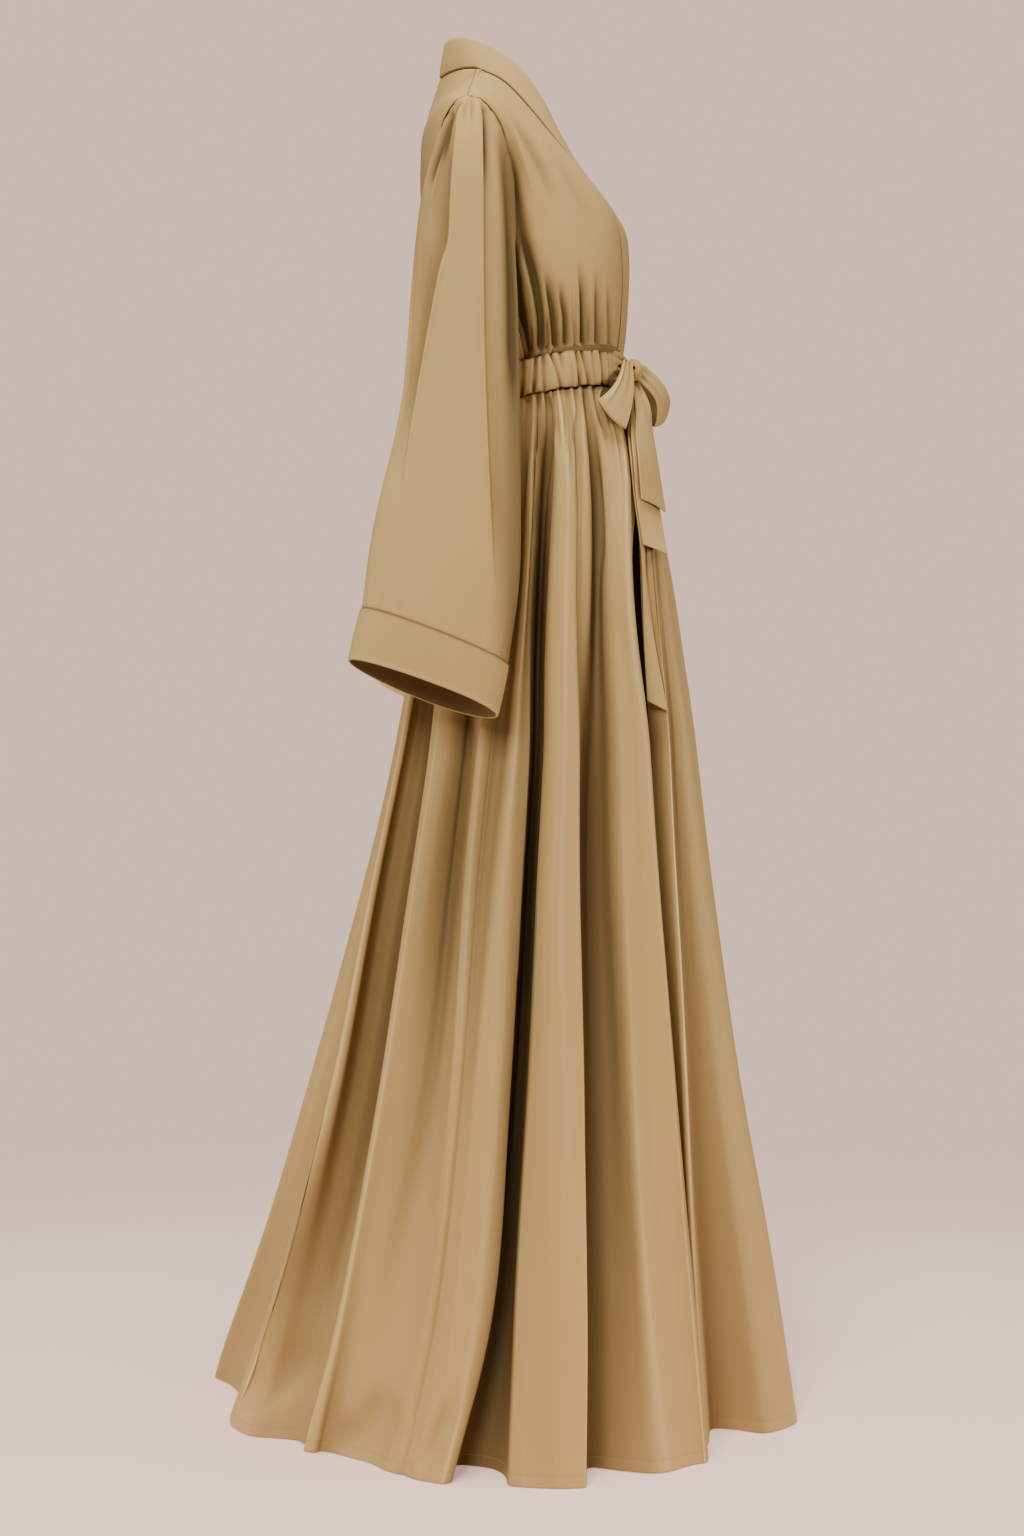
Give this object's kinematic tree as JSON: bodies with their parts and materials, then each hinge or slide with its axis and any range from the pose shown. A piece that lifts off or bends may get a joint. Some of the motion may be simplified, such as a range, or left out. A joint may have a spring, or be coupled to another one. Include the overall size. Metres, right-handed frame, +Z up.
{
  "type": "abaya cloak",
  "caption": "Long open-front abaya cloak in satin crepe with a standing neck band, wide cuffed sleeves, a gathered waistband, a full flared skirt and a tied bow.",
  "frame": {"origin": "middle of the neck opening on the line of the two shoulder seams, where the wearer's shoulders hold it", "axes": "+Z up, the front faces -Y, the wearer's left side at +X"},
  "size_m": [0.6157, 0.6499, 1.4945],
  "materials": {
    "cloth": "soft satin sheen"
  },
  "bodies": {
    "root": {"bodice_back": "cloth", "bodice_front_right": "cloth", "bodice_front_left": "cloth", "neck_band": "cloth", "sleeve_right": "cloth", "sleeve_left": "cloth", "cuff_right": "cloth", "cuff_left": "cloth", "waistband": "cloth", "skirt_back": "cloth", "skirt_front_right": "cloth", "skirt_front_left": "cloth", "belt_strap_right": "cloth", "belt_strap_left": "cloth", "bow_knot": "cloth", "bow_loop_right": "cloth", "bow_loop_left": "cloth", "tail_upper": "cloth", "tail_middle": "cloth", "tail_lower": "cloth"}
  },
  "joints": []
}
